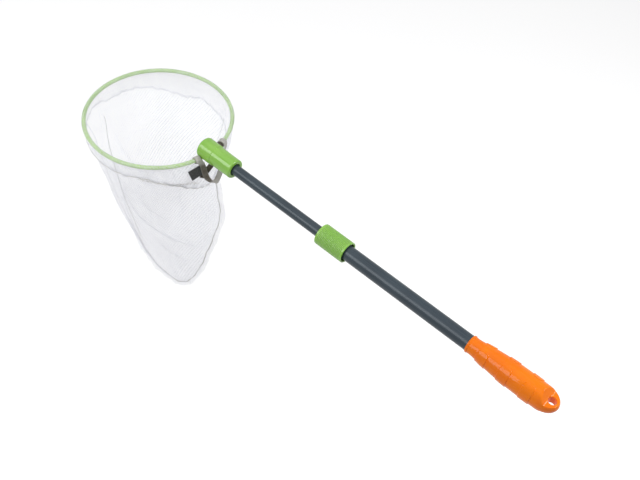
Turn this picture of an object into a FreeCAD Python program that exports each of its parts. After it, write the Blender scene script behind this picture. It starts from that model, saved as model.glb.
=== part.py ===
import FreeCAD, Part
import math
import os
import re

import Sketcher

# Telescopic skimming net. The origin is the centre of the hang hole in the grip's tail, on the pole's
# axis. +X runs along the pole from the hoop towards the grip's tail, +Z is up, and the bag hangs towards -Z.

# Driving sizes in millimetres, angles in degrees.
driving = {
    # hoop and head
    "hoop_radius": 112.0,  # to the rod's centre line
    "rod_radius": 3.0,
    "hoop_drop": 7.6,  # the hoop's plane lies this far below the pole's axis
    "rod_end_angle": 0.4,  # degrees of ring left open between the rod's ends
    "ferrule_wall": 1.0,
    "ferrule_half_angle": 4.6,
    "fit_clearance": 0.05,
    "cap_length": 26.8,
    "cap_radius": 16.2,
    "cap_end_wall": 3.0,
    "cap_front_round": 2.4,
    "cap_rear_round": 1.0,
    "cap_hole_gap": 0.35,  # between the ferrule and the cap's side holes
    "hoop_set_back": 9.1,  # from the cap's front face to the rod
    "spigot_radius": 12.6,
    "spigot_end_gap": 0.3,
    "socket_length": 39.1,
    "socket_front_radius": 15.3,
    "socket_rear_radius": 14.8,
    "socket_rear_round": 2.2,
    "socket_mouth_radius": 9.8,
    "socket_mouth_depth": 5.0,
    "tube_seat_depth": 36.0,
    # pole
    "upper_tube_radius": 8.0,
    "upper_tube_wall": 1.0,
    "upper_tube_shown": 170.4,  # between socket and collar, pulled right out
    "lower_tube_radius": 11.0,
    "lower_tube_wall": 1.2,
    "lower_tube_shown": 205.0,  # between collar and grip
    "lower_tube_setback": 24.0,  # the lower tube's mouth behind the collar's front face
    "running_clearance": 0.06,
    # twist collar and collet
    "collar_length": 47.8,
    "collar_radius": 15.8,
    "collar_edge_round": 0.7,
    "collar_bore_radius": 13.8,
    "collar_nose_gap": 0.4,
    "collar_rib_pitch": 2.0,
    "collar_rib_depth": 0.25,
    "collar_rib_groove": 0.7,
    "collar_plain_end": 3.0,  # smooth stretch at each end of the ribs
    "collet_finger_length": 12.0,
    "collet_web": 4.0,
    "collet_tip_radius": 10.4,
    "collet_root_radius": 12.3,
    "collet_skirt_length": 14.0,
    "collet_plug_length": 12.0,
    "collet_slot_width": 1.6,
    "collet_end_gap": 0.3,
    # bearing on the upper tube's inner end
    "bush_gap": 0.3,
    "bush_ring_length": 30.0,
    "bush_spigot_length": 25.0,
    "bush_bore_radius": 4.0,
    # grip
    "grip_length": 132.0,
    "hole_to_tail": 10.2,
    "grip_tube_depth": 78.0,
    "grip_hollow_depth": 104.0,
    "bead_length": 3.6,
    "bead_radius": 12.4,
    "neck_radius": 11.8,
    "neck_end": 8.0,  # stations along the grip, from its front face
    "shoulder_at": 26.0,
    "shoulder_radius": 14.1,
    "swell_at": 50.0,
    "swell_radius": 16.4,
    "waist_at": 79.0,
    "waist_radius": 17.4,
    "dome_length": 24.0,
    "dome_radius": 17.05,
    "pad_height": 0.8,
    "pad_length": 15.0,
    "first_pad_at": 17.0,
    "pad_pitch": 34.0,
    "pad_channel": 12.0,  # smooth channel along the top and the bottom
    "pad_corner": 5.0,
    "tab_thickness": 13.0,
    "tab_front": 5.3,  # the flat's front crease, forward of the hole's centre
    "tab_ramp_length": 8.0,
    "hang_hole_radius": 5.6,
    # hem, bag and tapes
    "hem_end_angle": 0.4,  # degrees between the hem's ends and the tape loops
    "hem_clearance": 0.2,
    "hem_wall": 0.8,
    "hem_depth": 30.0,
    "hem_band_thickness": 1.2,
    "sewn_gap": 0.2,
    "bag_depth": 378.0,
    "bag_wall": 0.9,
    "seam_angle": 42.7,  # the side seams' plane, turned from the pole's axis
    "bag_lean_angle": 3.7,  # the bag's tip swings this far out of the upright
    "binding_width": 6.6,
    "binding_top_width": 2.5,
    "binding_thickness": 1.0,
    "tape_width": 9.0,
    "tape_thickness": 1.1,
    "left_loop_angle": 10.8,  # round the hoop from the pole
    "right_loop_angle": 16.4,
    "tape_loop_gap": 0.3,
    "tape_stand_off": 10.0,  # the tapes' routes stand out from the rod by shares of this
    "tape_drop": 50.0,  # and hang down by shares of this
    "label_width": 20.0,
    "label_height": 21.5,
    "label_thickness": 1.2,
    "label_angle": 13.4,  # its middle, round the hoop from the pole towards -Y
    "label_outwards": 4.3,
    "label_drop": 21.2,
    "label_tilt_angle": 16.5,
}

# Places along X and radii that follow from the driving sizes.
worked_out = {
    "tail": "hole_to_tail",
    "grip_front": "hole_to_tail - grip_length",
    "collar_rear": "grip_front - lower_tube_shown",
    "collar_front": "collar_rear - collar_length",
    "socket_rear": "collar_front - upper_tube_shown",
    "head_step": "socket_rear - socket_length",
    "cap_front": "head_step - cap_length",
    "hoop_centre": "cap_front + hoop_set_back - hoop_radius",
    "lower_tube_front": "collar_front + lower_tube_setback",
    "upper_tube_front": "socket_rear - tube_seat_depth",
    "upper_tube_rear": "lower_tube_front + collet_plug_length + bush_gap",
    "lower_tube_bore": "lower_tube_radius - lower_tube_wall",
    "upper_tube_bore": "upper_tube_radius - upper_tube_wall",
    "ferrule_radius": "rod_radius + fit_clearance + ferrule_wall",
    "collet_body_radius": "collar_bore_radius - running_clearance",
    "collet_tip": "lower_tube_setback - collet_web - collet_finger_length",
    "hem_radius": "rod_radius + hem_clearance + hem_wall",
    "tape_loop_radius": "rod_radius + tape_loop_gap + tape_thickness",
    "tape_half_angle": "tape_width / 2 / hoop_radius * 180 / pi",
    "hem_left_angle": "left_loop_angle + tape_half_angle + hem_end_angle",
    "hem_right_angle": "right_loop_angle + tape_half_angle + hem_end_angle",
}

# The bag's sections below the hem: depth as a share of the bag's, then half width, half thickness and
# sideways shift as shares of the hoop's radius.
bag_sections = (
    (0.165, 0.915, 0.900, 0.000),
    (0.285, 0.765, 0.735, 0.000),
    (0.410, 0.725, 0.640, 0.070),
    (0.545, 0.685, 0.550, 0.145),
    (0.680, 0.565, 0.410, 0.165),
    (0.800, 0.430, 0.280, 0.175),
    (0.900, 0.280, 0.165, 0.200),
    (0.965, 0.135, 0.080, 0.222),
    (1.000, 0.035, 0.030, 0.232),
)

# Routes of the two tapes: degrees round the hoop from the pole, share of the stand-off outwards from the
# rod's centre line, share of the drop upwards, and the turn of the tape's width from the Y axis towards X.
hanging_tape_route = (
    (-10.8, 0.53, 0.03, 11),
    (-9.0, 0.67, -0.106, 13),
    (-7.8, 0.76, -0.315, 18),
    (-6.8, 0.79, -0.546, 24),
    (-4.8, 0.84, -0.800, 38),
    (-1.2, 0.93, -1.019, 62),
    (2.9, 1.05, -1.005, 84),
    (5.2, 1.10, -0.844, 86),
    (6.9, 1.08, -0.684, 90),
    (11.2, 0.94, -0.36, 118),
    (15.0, 0.72, -0.09, 153),
    (16.4, 0.53, 0.03, 164),
)
cross_tape_route = (
    (16.4, -0.05, -0.108, 106),
    (11.6, -0.14, -0.23, 100),
    (6.1, 0.00, -0.37, 90),
    (1.0, 0.22, -0.47, 70),
    (-3.0, 0.34, -0.53, 46),
    (-6.1, 0.33, -0.62, 26),
    (-8.2, 0.30, -0.76, 18),
)

doc = FreeCAD.newDocument("skimming_net")
sheet = doc.addObject("Spreadsheet::Sheet", "Sizes")
for row, (alias, number) in enumerate(driving.items(), start=1):
    sheet.set("A%d" % row, alias)
    sheet.set("B%d" % row, "%s" % number)
    sheet.setAlias("B%d" % row, alias)
places = doc.addObject("App::VarSet", "Places")


def formula(text):
    def full(match):
        word = match.group(0)
        if word in driving:
            return "Sizes." + word
        if word in worked_out:
            return "Places." + word
        return word

    return re.sub(r"[a-z]\w*", full, text)


for word, rule in worked_out.items():
    places.addProperty("App::PropertyFloat", word)
    places.setExpression(word, formula(rule))
doc.recompute()


def size(word):
    return float(getattr(sheet if word in driving else places, word))


def vec(x, y=0.0, z=0.0):
    return FreeCAD.Vector(x, y, z)


# Bodies, sketches and features

pieces = []


def new_body(label):
    body = doc.addObject("PartDesign::Body", label)
    body.Label = label
    pieces.append(body)
    return body


def sketch_on(body, role, name):
    sketch = body.newObject("Sketcher::SketchObject", name)
    for feature in body.Origin.OriginFeatures:
        if feature.Role == role:
            sketch.AttachmentSupport = [(feature, "")]
    sketch.MapMode = "FlatFace"
    return sketch


def pin_point(sketch, element, point, x, y):
    for kind, rule in (("DistanceX", x), ("DistanceY", y)):
        index = sketch.addConstraint(Sketcher.Constraint(kind, -1, 1, element, point, 1.0))
        sketch.setExpression("Constraints[%d]" % index, formula(rule))


def add_outline(sketch, corners):
    first = sketch.GeometryCount
    count = len(corners)
    start = [vec(i + 1, i * i + 1) for i in range(count)]
    for i in range(count):
        sketch.addGeometry(Part.LineSegment(start[i], start[(i + 1) % count]), False)
    for i in range(count):
        sketch.addConstraint(Sketcher.Constraint("Coincident", first + i, 2, first + (i + 1) % count, 1))
    for i, (x, y) in enumerate(corners):
        pin_point(sketch, first + i, 1, x, y)


def add_circle(sketch, x, y, radius):
    index = sketch.addGeometry(Part.Circle(vec(1, 1), vec(0, 0, 1), 1.0), False)
    pin_point(sketch, index, 3, x, y)
    rule = sketch.addConstraint(Sketcher.Constraint("Radius", index, 1.0))
    sketch.setExpression("Constraints[%d]" % rule, formula(radius))


def add_axis(sketch, x):
    # upright construction line at x, the axis that a ring is turned about
    index = sketch.addGeometry(Part.LineSegment(vec(1, -1), vec(1, 1)), True)
    pin_point(sketch, index, 1, x, "-10")
    pin_point(sketch, index, 2, x, "10")


def turn(body, kind, sketch, axis, angle="360", middle=False):
    feature = body.newObject(kind, sketch.Name + "_turn")
    feature.Profile = sketch
    feature.ReferenceAxis = (sketch, [axis])
    feature.Midplane = middle
    feature.setExpression("Angle", formula(angle))
    return feature


def turned(label, station, outline):
    # a piece turned about the pole's axis; outline holds pairs of X and radius from its station
    body = new_body(label)
    sketch = sketch_on(body, "XY_Plane", label + "_outline")
    add_outline(sketch, outline)
    turn(body, "PartDesign::Revolution", sketch, "H_Axis")
    body.setExpression("Placement.Base.x", formula(station))
    doc.recompute()
    return body


def round_rim(body, x, radius, amount):
    # rounds the circular edges of this radius at this X
    base = body.Tip
    names = []
    for number, edge in enumerate(base.Shape.Edges, start=1):
        if edge.Curve.TypeId != "Part::GeomCircle":
            continue
        if abs(edge.Curve.Radius - radius) < 0.01 and abs(edge.Curve.Center.x - x) < 0.01:
            names.append("Edge%d" % number)
    fillet = body.newObject("PartDesign::Fillet", body.Label + "_round")
    fillet.Base = (base, names)
    fillet.setExpression("Radius", formula(amount))
    doc.recompute()
    return fillet


def ring_cut(body, x, radius):
    # channel along the hoop's circle, for the rod or its ferrule; x is where the rod crosses this body
    before = body.Shape.Volume
    sketch = sketch_on(body, "XZ_Plane", body.Label + "_channel")
    add_circle(sketch, x, "-hoop_drop", radius)
    add_axis(sketch, x + " - hoop_radius")
    turn(body, "PartDesign::Groove", sketch, "Axis0")
    doc.recompute()
    if body.Shape.Volume > before - 1.0:
        raise RuntimeError("the channel in %s cuts nothing" % body.Label)


def ring(label, radius, angle):
    # part of a torus round the hoop's axis, open at the head
    body = new_body(label)
    sketch = sketch_on(body, "XZ_Plane", label + "_section")
    add_circle(sketch, "-hoop_radius", "0", radius)
    turn(body, "PartDesign::Revolution", sketch, "V_Axis", angle, True)
    body.setExpression("Placement.Base.x", formula("hoop_centre"))
    body.setExpression("Placement.Base.z", formula("-hoop_drop"))
    doc.recompute()
    return body


def feature_of(label, shape, at_hoop=True):
    piece = doc.addObject("Part::Feature", label)
    piece.Label = label
    piece.Shape = shape
    if at_hoop:
        piece.Placement = FreeCAD.Placement(
            vec(size("hoop_centre"), 0, -size("hoop_drop")), FreeCAD.Rotation()
        )
    pieces.append(piece)
    return piece


# Hoop


def make_hoop():
    ring("hoop_rod", "rod_radius", "360 - rod_end_angle")


def make_ferrule():
    body = new_body("hoop_ferrule")
    sketch = sketch_on(body, "XZ_Plane", "ferrule_section")
    add_circle(sketch, "hoop_radius", "0", "ferrule_radius")
    add_circle(sketch, "hoop_radius", "0", "rod_radius + fit_clearance")
    turn(body, "PartDesign::Revolution", sketch, "V_Axis", "2 * ferrule_half_angle", True)
    body.setExpression("Placement.Base.x", formula("hoop_centre"))
    body.setExpression("Placement.Base.z", formula("-hoop_drop"))
    doc.recompute()


# Head


def make_head_cap():
    outline = (
        ("0", "0"),
        ("0", "cap_radius"),
        ("cap_length", "cap_radius"),
        ("cap_length", "spigot_radius + fit_clearance"),
        ("cap_end_wall", "spigot_radius + fit_clearance"),
        ("cap_end_wall", "0"),
    )
    cap = turned("head_cap", "cap_front", outline)
    round_rim(cap, 0, size("cap_radius"), "cap_front_round")
    round_rim(cap, size("cap_length"), size("cap_radius"), "cap_rear_round")
    ring_cut(cap, "hoop_set_back", "ferrule_radius + cap_hole_gap")


def make_head_socket():
    spigot_end = "cap_end_wall + spigot_end_gap - cap_length"
    mouth = "socket_length - socket_mouth_depth"
    seat = "socket_length - tube_seat_depth"
    outline = (
        (spigot_end, "0"),
        (spigot_end, "spigot_radius"),
        ("0", "spigot_radius"),
        ("0", "socket_front_radius"),
        ("socket_length", "socket_rear_radius"),
        ("socket_length", "socket_mouth_radius"),
        (mouth, "socket_mouth_radius"),
        (mouth, "upper_tube_radius + fit_clearance"),
        (seat, "upper_tube_radius + fit_clearance"),
        (seat, "0"),
    )
    socket = turned("head_socket", "head_step", outline)
    round_rim(socket, size("socket_length"), size("socket_rear_radius"), "socket_rear_round")
    ring_cut(socket, "hoop_set_back - cap_length", "ferrule_radius + fit_clearance")


# Pole


def make_tubes():
    upper_length = "upper_tube_rear - upper_tube_front"
    turned("upper_tube", "upper_tube_front", tube_outline(upper_length, "upper_tube_bore", "upper_tube_radius"))
    lower_length = "grip_front + grip_tube_depth - lower_tube_front"
    turned("lower_tube", "lower_tube_front", tube_outline(lower_length, "lower_tube_bore", "lower_tube_radius"))


def tube_outline(length, bore, radius):
    return (("0", bore), ("0", radius), (length, radius), (length, bore))


def make_slide_bush():
    outline = (
        ("-bush_spigot_length", "bush_bore_radius"),
        ("-bush_spigot_length", "upper_tube_bore - running_clearance"),
        ("bush_gap / 2", "upper_tube_bore - running_clearance"),
        ("bush_gap / 2", "lower_tube_bore - running_clearance"),
        ("bush_ring_length", "lower_tube_bore - running_clearance"),
        ("bush_ring_length", "bush_bore_radius"),
    )
    turned("slide_bush", "upper_tube_rear", outline)


def make_lock_collet():
    tip = "-collet_web - collet_finger_length"
    outline = (
        (tip, "upper_tube_radius + running_clearance"),
        (tip, "collet_tip_radius"),
        ("-collet_web", "collet_root_radius"),
        ("-collet_web", "collet_body_radius"),
        ("collet_skirt_length", "collet_body_radius"),
        ("collet_skirt_length", "lower_tube_radius + fit_clearance"),
        ("-collet_end_gap", "lower_tube_radius + fit_clearance"),
        ("-collet_end_gap", "lower_tube_bore - fit_clearance"),
        ("collet_plug_length", "lower_tube_bore - fit_clearance"),
        ("collet_plug_length", "upper_tube_radius + running_clearance"),
    )
    collet = turned("lock_collet", "lower_tube_front", outline)
    # four slots that let the fingers close on the upper tube
    before = collet.Shape.Volume
    sketch = sketch_on(collet, "XY_Plane", "collet_slot")
    reach = "-collet_web - collet_finger_length - 1"
    half = "collet_slot_width / 2"
    corners = ((reach, "-" + half), (reach, half), ("-collet_web", half), ("-collet_web", "-" + half))
    add_outline(sketch, corners)
    slot = collet.newObject("PartDesign::Pocket", "collet_slot_cut")
    slot.Profile = sketch
    slot.Type = "ThroughAll"
    slot.Midplane = True
    doc.recompute()
    pattern = collet.newObject("PartDesign::PolarPattern", "collet_slots")
    pattern.Originals = [slot]
    pattern.Axis = (origin_feature(collet, "X_Axis"), [""])
    pattern.Angle = 180
    pattern.Occurrences = 2
    collet.Tip = pattern
    doc.recompute()
    if collet.Shape.Volume > before - 1.0:
        raise RuntimeError("the collet has no slots")


def origin_feature(body, role):
    for feature in body.Origin.OriginFeatures:
        if feature.Role == role:
            return feature
    raise RuntimeError("%s has no %s" % (body.Label, role))


def make_lock_collar():
    finger_gap = "running_clearance"
    shoulder = "lower_tube_setback - collet_web - collet_end_gap"
    tip = "collet_tip - collet_end_gap"
    outline = (
        ("0", "upper_tube_radius + collar_nose_gap"),
        ("0", "collar_radius"),
        ("collar_length", "collar_radius"),
        ("collar_length", "collar_bore_radius"),
        (shoulder, "collar_bore_radius"),
        (shoulder, "collet_root_radius + " + finger_gap),
        (tip, "collet_tip_radius + " + finger_gap),
        (tip, "upper_tube_radius + collar_nose_gap"),
    )
    collar = turned("lock_collar", "collar_front", outline)
    round_rim(collar, 0, size("collar_radius"), "collar_edge_round")
    round_rim(collar, size("collar_length"), size("collar_radius"), "collar_edge_round")
    # fine ribs: one shallow groove, repeated along the collar
    before = collar.Shape.Volume
    sketch = sketch_on(collar, "XY_Plane", "collar_rib_section")
    floor = "collar_radius - collar_rib_depth"
    start = "collar_plain_end"
    finish = "collar_plain_end + collar_rib_groove"
    outside = "collar_radius + 1"
    add_outline(sketch, ((start, floor), (finish, floor), (finish, outside), (start, outside)))
    groove = turn(collar, "PartDesign::Groove", sketch, "H_Axis")
    doc.recompute()
    ribbed = size("collar_length") - 2 * size("collar_plain_end") - size("collar_rib_groove")
    count = int(ribbed / size("collar_rib_pitch")) + 1
    pattern = collar.newObject("PartDesign::LinearPattern", "collar_ribs")
    pattern.Originals = [groove]
    pattern.Direction = (origin_feature(collar, "X_Axis"), [""])
    pattern.Occurrences = count
    pattern.setExpression("Length", formula("%d * collar_rib_pitch" % (count - 1)))
    collar.Tip = pattern
    doc.recompute()
    if collar.Shape.Volume > before - 1.0:
        raise RuntimeError("the collar has no ribs")


# Grip


def grip_profile(extra):
    # the grip's side line from the neck to the dome, raised by extra; X from the grip's front face
    stations = (
        (size("bead_length"), size("neck_radius")),
        (size("neck_end"), size("neck_radius")),
        (size("shoulder_at"), size("shoulder_radius")),
        (size("swell_at"), size("swell_radius")),
        (size("waist_at"), size("waist_radius")),
        (size("grip_length") - size("dome_length"), size("dome_radius")),
    )
    side = Part.BSplineCurve()
    side.interpolate([vec(x, radius + extra) for x, radius in stations])
    return side


def revolved(edges):
    face = Part.Face(Part.Wire(Part.__sortEdges__(edges)))
    return face.revolve(vec(0, 0, 0), vec(1, 0, 0), 360)


def grip_core():
    # bead, side line and half-ellipse dome, closed along the axis
    length = size("grip_length")
    side = grip_profile(0.0)
    start = side.value(side.FirstParameter)
    end = side.value(side.LastParameter)
    dome = Part.Ellipse(vec(end.x, 0), size("dome_length"), size("dome_radius"))
    dome_arc = Part.Arc(dome, 0.0, math.pi / 2)
    edges = [
        Part.LineSegment(vec(0, 0), vec(0, start.y)).toShape(),
        Part.LineSegment(vec(0, start.y), start).toShape(),
        side.toShape(),
        dome_arc.toShape(),
        Part.LineSegment(vec(length, 0), vec(0, 0)).toShape(),
    ]
    return revolved(edges)


def grip_bead():
    half = size("bead_length") / 2
    neck = size("neck_radius")
    bow = Part.Arc(vec(0, neck - 0.2), vec(half, size("bead_radius")), vec(2 * half, neck - 0.2))
    edges = [
        bow.toShape(),
        Part.LineSegment(vec(2 * half, neck - 0.2), vec(2 * half, 0)).toShape(),
        Part.LineSegment(vec(2 * half, 0), vec(0, 0)).toShape(),
        Part.LineSegment(vec(0, 0), vec(0, neck - 0.2)).toShape(),
    ]
    return revolved(edges)


def pad_footprint(start):
    # one side's pad seen from the side of the grip: a bar that crosses it between the two channels,
    # with rounded corners where it meets them
    reach = size("waist_radius") + size("pad_height") + 2
    half = size("pad_channel") / 2
    length = size("pad_length")
    bar = Part.makeBox(length, 2 * reach, 2 * reach, vec(start, -reach, -reach))
    channel = Part.makeBox(length, 2 * half, 2 * reach, vec(start, -half, -reach))
    bar = bar.cut(channel)
    corners = []
    for edge in bar.Edges:
        middle = edge.CenterOfMass
        upright = abs(edge.tangentAt(edge.FirstParameter).z) > 0.99
        if upright and abs(abs(middle.y) - half) < 0.01:
            corners.append(edge)
    return bar.makeFillet(size("pad_corner"), corners)


def grip_pads():
    lift = size("pad_height")
    side = grip_profile(lift)
    start = side.value(side.FirstParameter)
    end = side.value(side.LastParameter)
    edges = [
        side.toShape(),
        Part.LineSegment(end, vec(end.x, 0)).toShape(),
        Part.LineSegment(vec(end.x, 0), vec(start.x, 0)).toShape(),
        Part.LineSegment(vec(start.x, 0), start).toShape(),
    ]
    skin = revolved(edges)
    pads = []
    for number in range(3):
        at = size("first_pad_at") + number * size("pad_pitch")
        pads += skin.common(pad_footprint(at)).Solids
    return pads


def tab_cut(sign):
    # the recess over the hang hole: a flat land, and a ramp that climbs from it to the grip's skin
    tail = size("grip_length")
    hole = tail - size("hole_to_tail")
    land = size("tab_thickness") / 2
    crease = hole - size("tab_front")
    top = size("waist_radius") + 2
    climb = size("dome_radius") - land
    slope = climb / size("tab_ramp_length")
    foot = vec(crease, 0, land)
    head = vec(crease - (top - land) / slope, 0, top)
    corners = [foot, vec(tail + 1, 0, land), vec(tail + 1, 0, top), head, foot]
    wedge = Part.Face(Part.makePolygon(corners)).extrude(vec(0, 4 * top, 0))
    wedge.translate(vec(0, -2 * top, 0))
    if sign < 0:
        wedge = wedge.mirror(vec(0, 0, 0), vec(0, 0, 1))
    return wedge


def make_grip():
    shape = grip_core().fuse([grip_bead()] + grip_pads())
    shape = shape.removeSplitter()
    shape = shape.cut([tab_cut(1), tab_cut(-1)])
    bore = Part.makeCylinder(
        size("lower_tube_radius") + size("fit_clearance"), size("grip_hollow_depth"), vec(0, 0, 0), vec(1, 0, 0)
    )
    hole_x = size("grip_length") - size("hole_to_tail")
    reach = size("waist_radius") + size("pad_height")
    hole = Part.makeCylinder(size("hang_hole_radius"), 2 * reach, vec(hole_x, 0, -reach), vec(0, 0, 1))
    shape = shape.cut([bore, hole])
    piece = feature_of("handle_grip", shape, at_hoop=False)
    piece.Placement = FreeCAD.Placement(vec(size("grip_front"), 0, 0), FreeCAD.Rotation())


# Hem, bag and binding


def make_hem_sleeve():
    # a tube of cloth round the rod with a double band hanging from it, open between the tape loops
    angle = "360 - hem_left_angle - hem_right_angle"
    body = ring("hem_sleeve", "hem_radius", angle)
    band = sketch_on(body, "XZ_Plane", "hem_band")
    inner = "-hoop_radius - hem_band_thickness / 2"
    outer = "-hoop_radius + hem_band_thickness / 2"
    add_outline(band, ((inner, "0"), (outer, "0"), (outer, "-hem_depth"), (inner, "-hem_depth")))
    turn(body, "PartDesign::Revolution", band, "V_Axis", angle, True)
    doc.recompute()
    before = body.Shape.Volume
    bore = sketch_on(body, "XZ_Plane", "hem_bore")
    add_circle(bore, "-hoop_radius", "0", "rod_radius + hem_clearance")
    turn(body, "PartDesign::Groove", bore, "V_Axis")
    body.Placement.Rotation = FreeCAD.Rotation(vec(0, 0, 1), 1)
    body.setExpression("Placement.Rotation.Angle", formula("(hem_right_angle - hem_left_angle) / 2"))
    doc.recompute()
    if body.Shape.Volume > before - 1.0:
        raise RuntimeError("the hem has no bore")


def seam_directions():
    # along the seams' plane, square to it, and down it
    turn_angle = math.radians(size("seam_angle"))
    lean = math.radians(size("bag_lean_angle"))
    along = vec(math.cos(turn_angle), math.sin(turn_angle), 0)
    across = vec(-math.sin(turn_angle), math.cos(turn_angle), 0)
    down = vec(0, 0, -math.cos(lean)) - across * math.sin(lean)
    return along, across, down


def oval(centre, major, minor):
    # level ellipse with its long side along the seams
    if major < minor + 0.001:
        edge = Part.Circle(vec(0, 0, 0), vec(0, 0, 1), major).toShape()
    else:
        edge = Part.Ellipse(vec(0, 0, 0), major, minor).toShape()
    edge.Placement = FreeCAD.Placement(centre, FreeCAD.Rotation(vec(0, 0, 1), size("seam_angle")))
    return Part.Wire(edge)


def bag_loft(inset):
    # the bag's outside, drawn in by inset
    along, across, down = seam_directions()
    radius = size("hoop_radius")
    skin = size("bag_wall") / 2 - inset
    top = size("hem_depth") + size("sewn_gap")
    sections = [oval(vec(0, 0, -top), radius + skin, radius + skin)]
    for depth_share, width_share, thick_share, shift_share in bag_sections:
        depth = depth_share * size("bag_depth")
        if depth_share == bag_sections[-1][0]:
            depth -= inset
        centre = down * depth + along * (shift_share * radius)
        sections.append(oval(centre, width_share * radius + skin, thick_share * radius + skin))
    return Part.makeLoft(sections, True, False)


def half_space(side):
    # a large box on one side of the seams' plane
    reach = 3 * size("hoop_radius")
    depth = 2 * size("bag_depth")
    box = Part.makeBox(2 * reach, reach, depth, vec(-reach, size("sewn_gap") / 2, -depth))
    if side < 0:
        box = box.mirror(vec(0, 0, 0), vec(0, 1, 0))
    box.rotate(vec(0, 0, 0), vec(1, 0, 0), -size("bag_lean_angle"))
    box.rotate(vec(0, 0, 0), vec(0, 0, 1), size("seam_angle"))
    return box


def make_bag():
    pouch = bag_loft(0.0).cut(bag_loft(size("bag_wall")))
    feature_of("near_mesh_panel", pouch.common(half_space(-1)))
    feature_of("far_mesh_panel", pouch.common(half_space(1)))


def make_seam_binding():
    # flat fin in the seams' plane, down both sides of the bag and round its tip
    along, across, down = seam_directions()
    radius = size("hoop_radius")
    depth = size("bag_depth")
    wide = size("bag_wall") / 2 + size("sewn_gap") + size("binding_width")
    narrow = wide - size("binding_width") + size("binding_top_width")
    # it starts a second sewn gap below the hem, just under the panels' top edges
    top = (size("hem_depth") + 2 * size("sewn_gap")) / math.cos(math.radians(size("bag_lean_angle")))
    tip_shift = bag_sections[-1][3] * radius
    sides = []
    for sign in (-1, 1):
        spots = [down * top + along * (sign * (radius + narrow))]
        for depth_share, width_share, _, shift_share in bag_sections[:-1]:
            offset = shift_share * radius + sign * (width_share * radius + wide)
            spots.append(down * (depth_share * depth) + along * offset)
        sides.append(spots)
    left, right = sides
    outline = Part.BSplineCurve()
    outline.interpolate(left + [down * (depth + wide) + along * tip_shift] + right[::-1])
    closing = Part.LineSegment(right[0], left[0]).toShape()
    face = Part.Face(Part.Wire([outline.toShape(), closing]))
    half = size("binding_thickness") / 2
    face.translate(across * -half)
    fin = face.extrude(across * (2 * half))
    feature_of("seam_binding", fin.cut(bag_loft(-2 * size("sewn_gap"))))


# Tapes and label


def round_the_hoop(degrees, outwards, height):
    angle = math.radians(degrees)
    reach = size("hoop_radius") + outwards
    return vec(reach * math.cos(angle), reach * math.sin(angle), height)


def route_spot(stop):
    degrees, out_share, up_share, _ = stop
    return round_the_hoop(degrees, out_share * size("tape_stand_off"), up_share * size("tape_drop"))


def make_tape_loop(label, side, angle):
    # a turn of tape round the rod
    half = "tape_width / 2"
    outline = (
        ("-" + half, "rod_radius + tape_loop_gap"),
        ("-" + half, "tape_loop_radius"),
        (half, "tape_loop_radius"),
        (half, "rod_radius + tape_loop_gap"),
    )
    loop = turned(label, "hoop_centre + hoop_radius * cos(%s * 1deg)" % angle, outline)
    loop.setExpression("Placement.Base.y", formula("%d * hoop_radius * sin(%s * 1deg)" % (side, angle)))
    loop.setExpression("Placement.Base.z", formula("-hoop_drop"))
    loop.Placement.Rotation = FreeCAD.Rotation(vec(0, 0, 1), 90)
    loop.setExpression("Placement.Rotation.Angle", formula("90 + %d * %s" % (side, angle)))
    doc.recompute()


def tape_shape(route, steps=24):
    # ribbon through the route's points, its width turned as the route says
    spine = Part.BSplineCurve()
    spine.interpolate([route_spot(stop) for stop in route])
    knots = spine.getKnots()
    sections = []
    for step in range(steps + 1):
        at = step / steps * (len(route) - 1)
        before = min(int(at), len(route) - 2)
        share = at - before
        turn_angle = math.radians(route[before][3] * (1 - share) + route[before + 1][3] * share)
        parameter = knots[before] * (1 - share) + knots[before + 1] * share
        spot = spine.value(parameter)
        tangent = spine.tangent(parameter)[0]
        wide = vec(math.sin(turn_angle), math.cos(turn_angle), 0)
        wide = (wide - tangent * wide.dot(tangent)).normalize()
        thick = tangent.cross(wide).normalize()
        w = wide * (size("tape_width") / 2)
        t = thick * (size("tape_thickness") / 2)
        corners = [spot + w + t, spot - w + t, spot - w - t, spot + w - t, spot + w + t]
        sections.append(Part.makePolygon(corners))
    return Part.makeLoft(sections, True, True)


def make_tapes():
    make_tape_loop("left_tape_loop", -1, "left_loop_angle")
    make_tape_loop("right_tape_loop", 1, "right_loop_angle")
    feature_of("hanging_tape", tape_shape(hanging_tape_route))
    feature_of("cross_tape", tape_shape(cross_tape_route))


def make_label():
    # blank patch of folded cloth that hangs flat beside the tapes
    body = new_body("woven_label")
    sketch = sketch_on(body, "YZ_Plane", "label_outline")
    half_width = "label_width / 2"
    half_height = "label_height / 2"
    add_outline(sketch, (
        ("-" + half_width, "-" + half_height),
        (half_width, "-" + half_height),
        (half_width, half_height),
        ("-" + half_width, half_height),
    ))
    pad = body.newObject("PartDesign::Pad", "label_cloth")
    pad.Profile = sketch
    pad.Midplane = True
    pad.setExpression("Length", formula("label_thickness"))
    doc.recompute()
    middle = round_the_hoop(-size("label_angle"), size("label_outwards"), -size("label_drop"))
    middle += vec(size("hoop_centre"), 0, -size("hoop_drop"))
    round_pole = FreeCAD.Rotation(vec(0, 0, 1), -size("label_angle"))
    tilt = FreeCAD.Rotation(vec(1, 0, 0), size("label_tilt_angle"))
    body.Placement = FreeCAD.Placement(middle, round_pole.multiply(tilt))
    doc.recompute()


make_hoop()
make_ferrule()
make_head_cap()
make_head_socket()
make_tubes()
make_slide_bush()
make_lock_collet()
make_lock_collar()
make_grip()
make_hem_sleeve()
make_bag()
make_seam_binding()
make_tapes()
make_label()
doc.recompute()

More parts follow.
